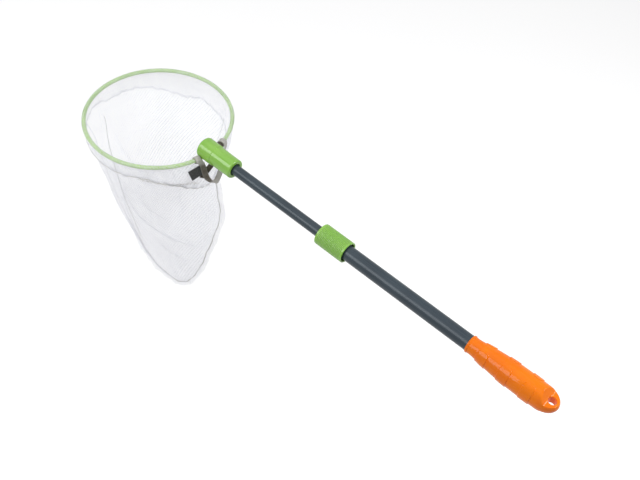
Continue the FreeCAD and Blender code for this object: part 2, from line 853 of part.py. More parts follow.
for item in doc.Objects:
    if "Invalid" in item.State or "Error" in item.State:
        raise RuntimeError("%s did not build" % item.Label)
os.makedirs("parts", exist_ok=True)
for piece in pieces:
    shape = piece.Shape
    if shape.isNull() or not shape.isValid() or not shape.Solids:
        raise RuntimeError("%s has no valid solid" % piece.Label)
    box = shape.BoundBox
    print("%-18s %d solid, %9.1f mm3, X %.1f to %.1f, Y %.1f to %.1f, Z %.1f to %.1f" % (
        piece.Label, len(shape.Solids), shape.Volume, box.XMin, box.XMax, box.YMin, box.YMax, box.ZMin, box.ZMax))
for piece in pieces:
    piece.Shape.exportStep("parts/%s.step" % piece.Label)
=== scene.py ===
from math import copysign, cos, pi, radians, sin

import bpy
import numpy as np
from mathutils import Matrix, Vector


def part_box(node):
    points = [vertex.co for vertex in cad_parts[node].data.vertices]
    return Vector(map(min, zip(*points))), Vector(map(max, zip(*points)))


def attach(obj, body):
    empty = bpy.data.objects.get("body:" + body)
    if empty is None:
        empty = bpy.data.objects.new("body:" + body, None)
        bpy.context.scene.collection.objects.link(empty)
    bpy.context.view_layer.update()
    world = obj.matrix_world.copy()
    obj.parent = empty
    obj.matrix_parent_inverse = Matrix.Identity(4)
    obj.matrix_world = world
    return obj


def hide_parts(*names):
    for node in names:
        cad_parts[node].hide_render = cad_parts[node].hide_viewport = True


# Telescopic hand net: a round hoop with a deep mesh bag, a green head and twist collar, two grey tubes
# and an orange grip. Lengths are in metres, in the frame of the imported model: +X along the pole to the
# grip's tail, +Z up. Collar, grip and the measured lines of the bag and tapes are listed in millimetres.

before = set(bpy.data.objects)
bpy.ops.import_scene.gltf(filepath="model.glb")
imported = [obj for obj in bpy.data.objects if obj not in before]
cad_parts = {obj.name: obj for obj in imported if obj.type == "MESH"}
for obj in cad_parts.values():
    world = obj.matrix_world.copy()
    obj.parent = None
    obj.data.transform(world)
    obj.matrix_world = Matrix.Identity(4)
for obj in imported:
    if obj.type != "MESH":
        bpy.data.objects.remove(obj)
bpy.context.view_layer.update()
scene = bpy.context.scene
scene.view_settings.view_transform = "Standard"
print("frame loaded")


# shader sums written as plain expressions

class Wire:
    def __init__(self, paint, socket):
        self.paint = paint
        self.socket = socket

    def calc(self, operation, *others):
        return self.paint.calc(operation, self, *others)

    def __add__(self, other):
        return self.calc("ADD", other)

    __radd__ = __add__

    def __sub__(self, other):
        return self.calc("SUBTRACT", other)

    def __rsub__(self, other):
        return self.paint.calc("SUBTRACT", other, self)

    def __mul__(self, other):
        return self.calc("MULTIPLY", other)

    __rmul__ = __mul__

    def __truediv__(self, other):
        return self.calc("DIVIDE", other)

    def __rtruediv__(self, other):
        return self.paint.calc("DIVIDE", other, self)

    def __abs__(self):
        return self.calc("ABSOLUTE")

    def wave(self, size):
        # up to 1 and down to 0 once in each size
        return (self * (2 * pi / size)).calc("SINE") * 0.5 + 0.5


class Paint:
    def __init__(self, name, world=False):
        # the nodes of a new material, or of the world
        self.owner = (bpy.data.worlds if world else bpy.data.materials).new(name)
        self.owner.use_nodes = True
        self.tree = self.owner.node_tree
        self.tree.nodes.clear()
        self.output = self.tree.nodes.new("ShaderNodeOutputWorld" if world else "ShaderNodeOutputMaterial")

    def feed(self, socket, value):
        if isinstance(value, Wire):
            self.tree.links.new(value.socket, socket)
        elif isinstance(value, tuple) and len(value) == 3 and socket.type == "RGBA":
            socket.default_value = (*value, 1.0)
        else:
            socket.default_value = value

    def node(self, kind, settings, values, output=0):
        made = self.tree.nodes.new(kind)
        for name, setting in settings.items():
            setattr(made, name, setting)
        pairs = enumerate(values) if isinstance(values, (list, tuple)) else values.items()
        for key, value in pairs:
            self.feed(made.inputs[key], value)
        return Wire(self, made.outputs[output])

    def calc(self, operation, *values):
        return self.node("ShaderNodeMath", {"operation": operation}, values)

    def place(self):
        # where a point is on the object, in metres
        return self.node("ShaderNodeTexCoord", {}, {}, "Object")

    def split(self, vector, axes="XYZ"):
        return [self.node("ShaderNodeSeparateXYZ", {}, [vector], axis) for axis in axes]

    def cloth(self):
        # metres across and along the cut of cloth
        return self.split(self.node("ShaderNodeUVMap", {"uv_map": "cloth"}, {}), "XY")

    def gather(self):
        # how far the cloth is bunched, 0 flat to 1 doubled
        return self.split(self.node("ShaderNodeUVMap", {"uv_map": "gather"}, {}), "X")[0]

    def noise(self, coords, size, detail=3.0, rough=0.55):
        values = {"Vector": coords, "Scale": 1 / size, "Detail": detail, "Roughness": rough}
        return self.node("ShaderNodeTexNoise", {}, values)

    def stretch(self, coords, x, y, z):
        return self.node("ShaderNodeVectorMath", {"operation": "MULTIPLY"}, [coords, (x, y, z)])

    def span(self, value, low, high, start=0.0, end=1.0):
        values = {"Value": value, "From Min": low, "From Max": high, "To Min": start, "To Max": end}
        return self.node("ShaderNodeMapRange", {"interpolation_type": "SMOOTHSTEP"}, values)

    def blend(self, share, first, second):
        return self.node("ShaderNodeMix", {"data_type": "RGBA"}, {0: share, 6: first, 7: second}, 2)

    def bump(self, height, strength=1.0):
        # height in metres
        return self.node("ShaderNodeBump", {}, {"Height": height, "Distance": 1.0, "Strength": strength})

    def surface(self, shader):
        self.tree.links.new(shader.socket, self.output.inputs["Surface"])
        return self.owner

    def finish(self, **values):
        inputs = {name.replace("_", " "): value for name, value in values.items()}
        return self.surface(self.node("ShaderNodeBsdfPrincipled", {}, inputs))


def srgb(*levels):
    # a colour in a screen's levels, 0 to 255, as the shader wants it
    shares = [level / 255 for level in levels]
    return tuple(s / 12.92 if s < 0.0404 else ((s + 0.055) / 1.055) ** 2.4 for s in shares)


# twist collar, in millimetres

collar = {
    "edge": 0.7,  # rounding of the two rims
    "plainEnd": 2.4,
    "ribFade": 0.6,
    "ribPitch": 2.3,
    "ribDepth": 0.3,
    "lengthRibs": 48,
    "lengthRibDepth": 0.25,
    "bore": 13.8,
    "noseBore": 8.4,
    "noseAt": 17.5,  # the bore narrows here, counted from the front
    "columns": 384,
}


# finishes

plastic = {
    # colour, deeper colour, roughness, gloss
    "green": (srgb(136, 188, 74), srgb(128, 183, 68), 0.08, 0.52),
    "ribbedGreen": (srgb(136, 188, 74), srgb(128, 183, 68), 0.20, 0.52),
    "orange": (srgb(241, 123, 1), srgb(237, 115, 1), 0.08, 0.19),
    "dark": (srgb(52, 54, 57), srgb(38, 40, 43), 0.45, 0.35),
}


def ribGrooves(paint, coords):
    # 1 in the grooves of the collar's ribs, 0 on their tops and on the plain rims; the mask for their painted
    # shade
    x, y, z = paint.split(coords)
    low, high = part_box("lock_collar")
    rim, fade = collar["plainEnd"] / 1000, collar["ribFade"] / 1000
    first, last = low[0] + rim, high[0] - rim
    rings = ((x - first) * (2000 * pi / collar["ribPitch"])).calc("COSINE")
    lines = (paint.calc("ARCTAN2", y, z) * collar["lengthRibs"]).calc("COSINE")
    ends = paint.span(x, first, first + fade) * paint.span(x, last - fade, last, 1.0, 0.0)
    return paint.span(rings.calc("MAXIMUM", lines), 0.1, 0.95) * ends


def mouldedPlastic(name, main, deep, shine, gloss, ribbed=False):
    # moulded plastic: a slow drift of tone, a fine skin grain, small scuffs, and painted shade in the grooves
    # of ribbed pieces
    paint = Paint(name)
    coords = paint.place()
    drift = paint.noise(coords, 0.030, 2.0)
    scuffs = paint.noise(paint.stretch(coords, 0.35, 1.0, 1.0), 0.0022, 4.0, 0.7)
    skin = paint.noise(coords, 0.0007, 2.0)
    tone = paint.blend(paint.span(drift, 0.40, 0.62), main, deep)
    if ribbed:
        # painted shade: the collar's rib grooves are darkened
        shadow = tuple(c * 0.62 for c in deep)
        tone = paint.blend(ribGrooves(paint, coords) * 0.6, tone, shadow)
    worn = paint.span(scuffs, 0.62, 0.76) * 0.08
    lighter = tuple(min(1.0, c * 1.18 + 0.01) for c in main)
    return paint.finish(
        Base_Color=paint.blend(worn, tone, lighter),
        Roughness=paint.span(skin, 0.2, 0.8, shine - 0.02, shine + 0.03) + worn * 0.6,
        Normal=paint.bump(skin * 0.000001 + scuffs * 0.0000002),
        Specular_IOR_Level=gloss,
    )


tubeFinish = {"main": srgb(58, 69, 77), "deep": srgb(53, 63, 71), "worn": srgb(92, 101, 107), "shine": 0.24}


def tubePaint(name):
    # satin coat on drawn tube: long fine draw lines and a few bright rubs along the pole
    paint = Paint(name)
    coords = paint.place()
    lines = paint.noise(paint.stretch(coords, 0.02, 1.0, 1.0), 0.0006, 3.0)
    rubs = paint.noise(paint.stretch(coords, 0.06, 1.0, 1.0), 0.0014, 4.0, 0.7)
    grain = paint.noise(coords, 0.0005, 2.0)
    drift = paint.noise(coords, 0.060, 2.0)
    tone = paint.blend(paint.span(drift, 0.35, 0.65), tubeFinish["main"], tubeFinish["deep"])
    rubbed = paint.span(rubs, 0.70, 0.80) * 0.35
    shine = tubeFinish["shine"]
    return paint.finish(
        Base_Color=paint.blend(rubbed, tone, tubeFinish["worn"]),
        Metallic=rubbed * 0.6 + 0.10,
        Roughness=paint.span(lines, 0.3, 0.7, shine - 0.04, shine + 0.06),
        Normal=paint.bump(lines * 0.000004 + grain * 0.000002),
        Specular_IOR_Level=0.26,
    )


rodFinish = {"main": srgb(170, 211, 96), "deep": srgb(160, 204, 88), "rough": (0.33, 0.45)}


def coatedRod(name):
    # green coat on the hoop's rod
    paint = Paint(name)
    coords = paint.place()
    drift = paint.noise(coords, 0.02, 3.0)
    grain = paint.noise(coords, 0.0007, 3.0)
    return paint.finish(
        Base_Color=paint.blend(paint.span(drift, 0.4, 0.6), rodFinish["main"], rodFinish["deep"]),
        Roughness=paint.span(grain, 0.3, 0.7, *rodFinish["rough"]),
        Normal=paint.bump(grain * 0.00004),
    )


steelFinish = {"main": srgb(176, 177, 176), "deep": srgb(150, 151, 152), "rough": (0.28, 0.42)}


def drawnSteel(name):
    paint = Paint(name)
    lines = paint.noise(paint.stretch(paint.place(), 1.0, 0.05, 1.0), 0.0004, 3.0)
    return paint.finish(
        Base_Color=paint.blend(lines, steelFinish["main"], steelFinish["deep"]),
        Metallic=paint.span(lines, 0.0, 1.0, 0.92, 1.0),
        Roughness=paint.span(lines, 0.3, 0.7, *steelFinish["rough"]),
        Normal=paint.bump(lines * 0.00003),
    )


netFinish = {
    "thread": srgb(244, 245, 252),
    "threadShade": srgb(236, 237, 245),
    "pitch": 0.00137,
    "width": 0.124,  # thread as a share of the pitch
    "turn": 50.0,  # the threads run at this angle over the cut
    "twist": 18.8,  # radians of ply twist in each mesh
    "rough": (0.72, 0.84),
}


def netCloth(name, finer, wider, turned, rib):
    # knitted net: two sets of threads at right angles, open holes, and every third thread one way rib
    # times wider; finer, wider and turned set it off from the panels' net
    paint = Paint(name)
    pitch, width = netFinish["pitch"] * finer, netFinish["width"] * wider
    turn = radians(netFinish["turn"] + turned)
    across, along = paint.cloth()
    coords = paint.place()
    c, s = cos(turn) / pitch, sin(turn) / pitch
    first = across * c + along * s
    second = along * c - across * s
    mottle = paint.noise(coords, 0.0075, 4.0, 0.62)
    half = (paint.gather() + mottle * 0.9 + 0.55) * (width * 0.5)
    threads = []
    for run, share in ((first, 1.0), (second, 1.0), (second / 3.0, rib / 3)):
        off = abs(run.calc("FRACT") - 0.5)
        threads.append(paint.span(off, half * (0.7 * share), half * (1.35 * share), 1.0, 0.0))
    twist = (first * netFinish["twist"]).calc("SINE") * 0.5 + 0.5
    drift = paint.noise(coords, 0.035, 3.0)
    height = (threads[0] + threads[1]) * 0.00008 + twist * 0.00002
    return paint.finish(
        Base_Color=paint.blend(paint.span(drift, 0.35, 0.68), netFinish["thread"], netFinish["threadShade"]),
        Roughness=paint.span(drift, 0.3, 0.7, *netFinish["rough"]),
        Alpha=threads[0].calc("MAXIMUM", threads[1]).calc("MAXIMUM", threads[2]),
        Normal=paint.bump(height, 0.4),
        Specular_IOR_Level=0.2,
    )


stitchFinish = {"main": srgb(212, 211, 208), "deep": srgb(193, 191, 186), "rough": (0.75, 0.9)}


def stitchThread(name):
    paint = Paint(name)
    fuzz = paint.noise(paint.place(), 0.0009, 3.0)
    return paint.finish(
        Base_Color=paint.blend(paint.span(fuzz, 0.3, 0.7), stitchFinish["main"], stitchFinish["deep"]),
        Roughness=paint.span(fuzz, 0.3, 0.7, *stitchFinish["rough"]),
        Normal=paint.bump(fuzz * 0.0003),
    )


tapeFinish = {
    # colour, deeper colour, colour it darkens to low down towards the crossing
    "grey": (srgb(214, 211, 207), srgb(160, 156, 152), srgb(84, 74, 58)),
    "dark": (srgb(88, 79, 66), srgb(56, 49, 40), None),
    "rib": 0.00085,
    "twill": 0.0011,
    "rough": (0.78, 0.92),
}


def tapeWeave(name, main, deep, lowTone):
    # ribbed tape: ribs across its width, a darker selvedge, and darker low down on the -Y side towards the
    # crossing
    paint = Paint(name)
    across, along = paint.cloth()
    coords = paint.place()
    rib = along.wave(tapeFinish["rib"])
    twill = (across + along).wave(tapeFinish["twill"])
    fuzz = paint.noise(coords, 0.0016, 4.0, 0.7)
    shade = paint.span(rib * 0.5 + twill * 0.25 + fuzz * 0.5, 0.35, 0.95)
    tone = paint.blend(shade, deep, main)
    if lowTone:
        # darker low down and on the -Y side, near where the dark tape crosses, with a few random blotches
        y, z = paint.split(coords, "YZ")
        blotch = paint.span(paint.noise(coords, 0.010, 2.0), 0.5, 0.7)
        low = paint.span(0 - z, 0.010, 0.018) * paint.span(0 - y, 0.002, 0.007)
        tone = paint.blend(low * 0.85 + blotch * 0.12, tone, lowTone)
    edge = paint.span(abs(across), 0.0030, 0.0044)
    return paint.finish(
        Base_Color=paint.blend(edge * 0.55, tone, deep),
        Roughness=paint.span(fuzz, 0.3, 0.7, *tapeFinish["rough"]),
        Normal=paint.bump(rib * 0.00016 + twill * 0.00008 + fuzz * 0.0001),
        Sheen_Weight=0.15,
    )


labelFinish = {
    "main": srgb(48, 50, 49),
    "deep": srgb(30, 32, 32),
    "border": srgb(22, 23, 23),
    "thread": 0.0007,
    "rough": (0.7, 0.85),
}


def labelWeave(name):
    # blank woven patch, with a slightly raised border
    paint = Paint(name)
    across, along = paint.cloth()
    warp, weft = across.wave(labelFinish["thread"]), along.wave(labelFinish["thread"])
    fuzz = paint.noise(paint.place(), 0.0018, 3.0, 0.6)
    border = paint.span(abs(across), 0.0082, 0.0090)
    weave = paint.span(warp * weft + fuzz * 0.5, 0.2, 1.0)
    tone = paint.blend(weave, labelFinish["deep"], labelFinish["main"])
    return paint.finish(
        Base_Color=paint.blend(border * 0.5, tone, labelFinish["border"]),
        Roughness=paint.span(fuzz, 0.3, 0.7, *labelFinish["rough"]),
        Normal=paint.bump(warp * 0.0001 + weft * 0.0001 + border * 0.0002),
        Sheen_Weight=0.2,
    )


finishes = {
    "green": mouldedPlastic("greenPlastic", *plastic["green"]),
    "collar": mouldedPlastic("greenRibbed", *plastic["ribbedGreen"], ribbed=True),
    "grip": mouldedPlastic("orangeGrip", *plastic["orange"]),
    "dark": mouldedPlastic("darkPlastic", *plastic["dark"]),
    "tube": tubePaint("greyTube"),
    "rod": coatedRod("coatedRod"),
    "steel": drawnSteel("drawnSteel"),
    "panel": netCloth("netPanel", 1.0, 1.0, 0, 3.8),
    "hem": netCloth("netHem", 0.8, 0.80, 8, 2.2),
    "seam": netCloth("netSeam", 0.85, 1.2, 0, 2.6),
    "stitch": stitchThread("stitchThread"),
    "greyTape": tapeWeave("greyTape", *tapeFinish["grey"]),
    "darkTape": tapeWeave("darkTape", *tapeFinish["dark"]),
    "label": labelWeave("labelWeave"),
}
nodeFinishes = {
    "hoop_rod": "rod",
    "hoop_ferrule": "steel",
    "head_cap": "green",
    "head_socket": "green",
    "upper_tube": "tube",
    "slide_bush": "dark",
    "lock_collet": "dark",
    "lower_tube": "tube",
}
for node, finish in nodeFinishes.items():
    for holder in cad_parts[node].material_slots:
        holder.material = finishes[finish]
print("finishes made")


# mesh helpers

def addObject(name, data):
    made = bpy.data.objects.new(name, data)
    scene.collection.objects.link(made)
    return made


def addMesh(name, points, faces, material):
    mesh = bpy.data.meshes.new(name)
    points = np.asarray(points, float).reshape(-1, 3)
    mesh.from_pydata(points.tolist(), [], [tuple(int(i) for i in face) for face in faces])
    mesh.materials.append(material)
    return addObject(name, mesh)


def addPiece(name, points, faces, finish, body, slot, spots=None, gather=None):
    # a mesh piece that rides on a body; spots are places on the cut of cloth, gather how far it is bunched
    piece = addMesh(name, points, faces, finishes[finish])
    mesh = piece.data
    order = np.empty(len(mesh.loops), dtype=np.int64)
    mesh.loops.foreach_get("vertex_index", order)
    if gather is not None:
        gather = np.stack([gather, gather * 0], axis=-1)
    for uvName, values in (("cloth", spots), ("gather", gather)):
        if values is not None:
            layer = mesh.uv_layers.new(name=uvName)
            values = np.asarray(values, dtype=np.float32).reshape(-1, 2)
            layer.data.foreach_set("uv", values[order].ravel())
    mesh.polygons.foreach_set("use_smooth", [True] * len(mesh.polygons))
    mesh.update()
    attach(piece, body)
    return piece


def gridFaces(rows, columns, closed=False, looped=False, skip=None):
    # closed joins the ends of each row, looped joins the last row to the first
    faces = []
    for r in range(rows if looped else rows - 1):
        here, below = r * columns, (r + 1) % rows * columns
        for c in range(columns if closed else columns - 1):
            if skip is not None and skip[r, c]:
                continue
            n = (c + 1) % columns
            faces.append((here + c, here + n, below + n, below + c))
    return faces


def tubeFaces(rows, columns):
    # a round wall with a flat face at each end
    ends = [tuple(range(columns))[::-1], tuple(range((rows - 1) * columns, rows * columns))]
    return gridFaces(rows, columns, closed=True) + ends


def fullTurn(count):
    return np.linspace(0, 2 * pi, count, endpoint=False)


def arc(x, y, wide, high, start, end, count):
    # points on an ellipse round x and y, from one angle to another
    return [(x + wide * cos(a), y + high * sin(a)) for a in np.linspace(start, end, count)]


def unit(vectors):
    return vectors / np.linalg.norm(vectors, axis=-1, keepdims=True)


def runAlong(points, axis=0):
    # length run so far, along a line of points or along one way of a grid
    steps = np.linalg.norm(np.diff(points, axis=axis), axis=-1)
    start = np.take(steps, [0], axis=axis) * 0
    return np.concatenate([start, np.cumsum(steps, axis=axis)], axis=axis)


def wavy(run, size, start=0.0):
    return np.sin(run * 2 * pi / size + start)


def smoothCurve(knots, values, x):
    # cubic through the knots, its slopes taken from their neighbours
    knots, values, x = np.asarray(knots, float), np.asarray(values, float), np.asarray(x, float)
    slopes = np.gradient(values, knots, axis=0)
    i = np.clip(np.searchsorted(knots, x, side="right") - 1, 0, len(knots) - 2)
    step = knots[i + 1] - knots[i]
    s = (x - knots[i]) / step
    if values.ndim > 1:
        s, step = s[..., None], step[..., None]
    return ((2 * s**3 - 3 * s**2 + 1) * values[i] + (s**3 - 2 * s**2 + s) * step * slopes[i]
            + (3 * s**2 - 2 * s**3) * values[i + 1] + (s**3 - s**2) * step * slopes[i + 1])


def smoothRound(knots, values, x):
    # the same, round a full turn of degrees
    wide = np.concatenate([knots - 360, knots, knots + 360])
    return smoothCurve(wide, np.tile(values, 3), x)


def smoothRoute(route, count):
    # count points evenly spaced between the route's own
    return smoothCurve(np.arange(len(route)), route, np.linspace(0, len(route) - 1, count))


def ropeMesh(path, radius, sides=8, twist=0.0, pitch=0.003, depth=0.0):
    # round thread along a path; twist gives it a two-ply look
    path = np.asarray(path, float)
    tangents = unit(np.gradient(path, axis=0))
    side = np.cross(tangents[0], (0, 0, 1.0))
    if np.linalg.norm(side) < 1e-6:
        side = np.cross(tangents[0], (1.0, 0, 0))
    points = []
    radii = np.broadcast_to(radius, len(path))
    for spot, tangent, length, thick in zip(path, tangents, runAlong(path), radii):
        side = unit(side - tangent * side.dot(tangent))
        other = np.cross(tangent, side)
        for angle in fullTurn(sides):
            r = thick * (1 + depth * cos(2 * (angle - twist * length / pitch * 2 * pi)))
            points.append(spot + side * (r * cos(angle)) + other * (r * sin(angle)))
    return points, tubeFaces(len(path), sides)


# hoop and bag

hoopLow, hoopHigh = (np.array(corner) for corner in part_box("hoop_rod"))
hoopCentre = (hoopLow + hoopHigh) / 2
rodRadius = (hoopHigh[2] - hoopLow[2]) / 2
hoopRadius = (hoopHigh[0] - hoopLow[0]) / 2 - rodRadius

bag = {
    "depth": 0.3710,
    "tipDroop": 0.0045,  # the bottom seam's middle hangs lower than its ends
    "lean": 3.7,
    "seamTurn": 42.7,  # the side seams' plane, turned from the pole
    # share of the depth, half width along the seams, half thickness, shift along the seams
    "sections": (
        (0, 1, 1, 0), (0.08, 1, 1, 0), (0.165, 0.915, 0.9, 0), (0.285, 0.765, 0.735, 0),
        (0.41, 0.725, 0.64, 0.07), (0.545, 0.685, 0.55, 0.145), (0.68, 0.565, 0.41, 0.165),
        (0.8, 0.43, 0.28, 0.175), (0.9, 0.28, 0.165, 0.2), (0.965, 0.135, 0.075, 0.222),
        (1, 0.035, 0.004, 0.232),
    ),
    # depth, push of the left side and of the right side, in millimetres
    "pushes": (
        (0, 0, 0), (18, -0.7, -0.5), (40, -6.1, -0.2), (70, -2.1, -0.6), (110, 5.2, -0.9), (160, 7.7, -1.6),
        (210, 7.2, -1.3), (260, 6.8, -1.0), (310, 8.0, -0.3), (350, 9.7, 2.3), (373.5, 8.9, 3.0),
    ),
    "rows": 230,
    "columns": 230,
}
seamTurn, lean = radians(bag["seamTurn"]), radians(bag["lean"])
along = np.array([cos(seamTurn), sin(seamTurn), 0])
across = np.array([-sin(seamTurn), cos(seamTurn), 0])
down = np.array([0, 0, -cos(lean)])


def bagPoints(turn, depth, out=0.0):
    # turn in radians from the right-hand seam, depth below the hoop, out from the surface
    turn, depth = np.broadcast_arrays(np.asarray(turn, float), np.asarray(depth, float))
    table, pushes = np.array(bag["sections"]), np.array(bag["pushes"]) / 1000
    share = depth / bag["depth"]
    sizes = smoothCurve(table[:, 0], table[:, 1:], np.clip(share, 0, 1)) * hoopRadius
    width, thick, shift = sizes[..., 0] + out, sizes[..., 1] + out, sizes[..., 2]
    swing = np.interp(share, (0.0, 0.08, 0.165, 1.0), (0, 0, 0.165, 1.0)) * bag["depth"] * sin(lean)
    push = smoothCurve(pushes[:, 0], pushes[:, 1:], np.clip(depth, 0, pushes[-1, 0]))
    left, right = (np.clip(0.5 + 0.5 * sign * np.cos(turn), 0, 1) ** 1.3 for sign in (-1, 1))
    shift = shift + push[..., 1] * right - push[..., 0] * left
    level = along * (shift + width * np.cos(turn))[..., None]
    level = level + across * (thick * np.sin(turn) - swing)[..., None]
    return hoopCentre + level + down * depth[..., None]


def seamAngle(degrees):
    # from degrees round the hoop to the turn from the right-hand seam
    return np.radians(degrees - bag["seamTurn"])


def hemWave(degrees, count, start=0.0):
    # count waves round the hoop
    return np.sin(np.radians(degrees) * count + start)


hem = {
    # the sewn line: degrees round the hoop from the pole, depth in millimetres
    "line": (
        (-159, 20), (-137, 22), (-110, 23), (-87, 24), (-77, 23.7), (-67, 24), (-54, 22), (-46, 27),
        (-37, 35), (-29, 42), (-13, 64), (5, 84), (13, 92), (24, 100), (34, 100), (43, 84), (55, 62),
        (66, 50), (91, 44), (103, 40), (117, 45), (131, 41), (143, 36), (156, 31), (172, 29), (188, 28),
    ),
    "puckers": 31,  # round the hoop
    "pucker": 0.0011,
    "sleeveGap": 0.0005,  # cloth over the rod
    "layerGap": 0.0004,
    "closeOver": 0.011,  # the two layers close over this depth
    # degrees left open for the head and the tapes: at the rod, and below it
    "notch": (-13.6, 18.9),
    "lowNotch": (-8.8, 9.6),
    "notchStep": (0.0055, 0.0085),
    "notchDepth": 0.031,
    "columns": 720,
    "sideRows": 22,
    "topRows": 12,
}


def hemDepth(degrees):
    line = np.array(hem["line"])
    pucker = 0.9 * hemWave(degrees, hem["puckers"]) + 0.6 * hemWave(degrees, 53, 1.0)
    return (smoothRound(line[:, 0], line[:, 1], degrees) + pucker) / 1000


folds = {
    # each fold: points of (degrees from the right seam, depth in mm), height in mm, half width in mm
    "near": (
        (((245, 49), (242.8, 82), (242.4, 106.5), (247.6, 138.5), (251.2, 149), (260.2, 169.5), (271, 186.4),
          (282.7, 206.5), (299.2, 225.3), (323.4, 250)), 2.4, 2.2),
        (((242.3, 64), (235, 109), (232.7, 136), (232.6, 157), (228, 200), (224, 250), (222, 300)), 1.8, 2.6),
        (((262, 60), (258, 95), (268, 128), (283, 152)), 1.2, 2.4),
        (((315, 110), (322, 150), (331, 185)), 1.2, 2.6),
        (((251, 190), (262, 228), (280, 262), (301, 290)), 1.2, 2.6),
        (((352, 60), (350, 110), (348, 160)), 1.0, 2.4),
    ),
    "far": (
        (((156, 42), (156, 63), (157.5, 78), (159, 96), (159.5, 120), (160.5, 145), (161.5, 170), (164, 204),
          (165.5, 232), (170, 270)), 2.7, 1.5),
        (((33, 14), (33, 33), (29, 46), (27, 80)), 1.8, 1.6),
        (((150, 60), (143, 110), (128, 170), (112, 230)), 1.4, 3.0),
        (((20, 70), (34, 120), (52, 190)), 1.4, 3.0),
        (((94, 150), (88, 220), (80, 280)), 1.2, 3.0),
    ),
    # bunching for each millimetre of height
    "gather": {"near": 0.66, "far": 0.45},
    "reach": 0.7,  # the bag's mean radius, as a share of the hoop's
}


def foldHeight(turn, depth, side):
    # ridges of the cloth's folds over slow waves, and how far the cloth is gathered along them
    waves = 0.0008 * np.sin(turn * 7 + depth * 22) * np.sin(depth * 31 + turn * 2)
    waves = waves + 0.0005 * np.sin(turn * 13 - depth * 47)
    total = waves * np.clip((depth - 0.02) / 0.05, 0, 1)
    gather = np.zeros(turn.shape)
    reach = hoopRadius * folds["reach"]
    flat = np.stack([turn * reach, depth], axis=-1)
    for route, height, width in folds[side]:
        route = smoothRoute(route, len(route) * 5)
        line = np.stack([np.radians(route[:, 0]) * reach, route[:, 1] / 1000], axis=-1)
        lengths = runAlong(line)
        nearest = np.full(turn.shape, 1e9)
        ends = np.ones(turn.shape)
        for k in range(len(line) - 1):
            step = line[k + 1] - line[k]
            share = np.clip(((flat - line[k]) @ step) / (step @ step), 0, 1)
            gap = np.linalg.norm(flat - line[k] - share[..., None] * step, axis=-1)
            place = (lengths[k] + share * (lengths[k + 1] - lengths[k])) / lengths[-1]
            closer = gap < nearest
            nearest = np.where(closer, gap, nearest)
            ends = np.where(closer, np.sin(np.pi * np.clip(place, 0.04, 0.96)) ** 0.5, ends)
        close = ends / (1 + (nearest / (width / 1000)) ** 2)
        total = total + height / 1000 * close
        gather = gather + folds["gather"][side] * height * close**2
    return total, gather


def makePanel(name, node, side, start):
    # half of the bag, from the hem's sewn line to the tip
    rows, columns = bag["rows"], bag["columns"]
    half = np.linspace(0, pi, columns)[None, :]
    turn = np.radians(start) + half.repeat(rows, axis=0)
    top = hemDepth(np.degrees(turn[:1]) + bag["seamTurn"]) - 0.003
    share = np.linspace(0, 1, rows)[:, None] ** 0.92
    depth = top + (bag["depth"] - top) * share
    depth = depth + bag["tipDroop"] * np.abs(np.sin(turn)) * share**12
    fade = np.clip(np.sin(half) * 6, 0, 1) * np.clip((1 - share) * 8, 0, 1)
    ridges, gather = foldHeight(turn, depth, side)
    points = bagPoints(turn, depth, ridges * fade)
    runs = runAlong(points, axis=1)
    runs -= runs[:, columns // 2][:, None]
    spots = np.stack([runs, depth], axis=-1)
    faces = gridFaces(rows, columns)
    piece = addPiece(name, points, faces, "panel", "net", "white_mesh", spots, gather * fade)
    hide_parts(node)
    return piece


def hemLayer(degrees, share, side):
    # one layer of the band: share 0 at the rod's level, 1 at the sewn line; side 1 outside, -1 inside
    depth = hemDepth(degrees) * share
    sleeve = rodRadius + hem["sleeveGap"]
    swell = sleeve * np.exp(-depth / hem["closeOver"]) + hem["layerGap"]
    ripple = hem["pucker"] * hemWave(degrees, hem["puckers"], 0.8) * share
    ripple = ripple + 0.0008 * hemWave(degrees, 14, share * 3) * np.sin(share * pi)
    return bagPoints(seamAngle(degrees), depth, swell * side + ripple)


def makeHem():
    # one strip of net folded over the rod, its two edges sewn together below
    columns = hem["columns"]
    degrees = np.linspace(-180, 180, columns, endpoint=False)
    sleeve, deep = rodRadius + hem["sleeveGap"], hemDepth(degrees)
    shares = np.linspace(0, 1, hem["sideRows"])
    rows = [hemLayer(degrees, share, -1) for share in shares[::-1]]
    cuts = [deep * share for share in shares]
    radial = np.stack([np.cos(np.radians(degrees)), np.sin(np.radians(degrees)), 0 * degrees], axis=-1)
    top = arc(hoopRadius, 0, sleeve + hem["layerGap"], sleeve, pi, 0, hem["topRows"])[1:-1]
    rows += [hoopCentre + reach * radial + np.array([0, 0, lift]) for reach, lift in top]
    rows += [hemLayer(degrees, share, 1) for share in shares]
    points = np.array(rows)
    cuts = np.array(cuts[::-1] + [0 * deep] * len(top) + cuts)
    notches = zip(hem["notch"], hem["lowNotch"])
    low, high = (np.interp(cuts, hem["notchStep"], pair) for pair in notches)
    skip = (degrees > low) & (degrees < high) & (cuts < hem["notchDepth"])
    spots = np.stack([np.radians(degrees) * hoopRadius + 0 * cuts, runAlong(points)], axis=-1)
    # the cloth is bunched by the stitching, in time with its puckers, and over the rod
    sewn = np.exp(-((cuts / deep - 1) / 0.12) ** 2)
    near = np.clip(0.25 - np.sin(seamAngle(degrees)) * 1.1, 0.12, 1.25)
    gather = sewn * near * (0.7 + 0.6 * hemWave(degrees, hem["puckers"], 0.8))
    gather = gather + 0.6 * np.exp(-(cuts / 0.0035) ** 2)
    faces = gridFaces(len(points), columns, closed=True, skip=skip)
    piece = addPiece("hemBand", points, faces, "hem", "net", "white_hem", spots, gather)
    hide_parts("hem_sleeve")
    return piece


def addThread(name, path, radius, depth=0.2):
    return addPiece(name, *ropeMesh(path, radius, twist=1, depth=depth), "stitch", "net", "white_hem")


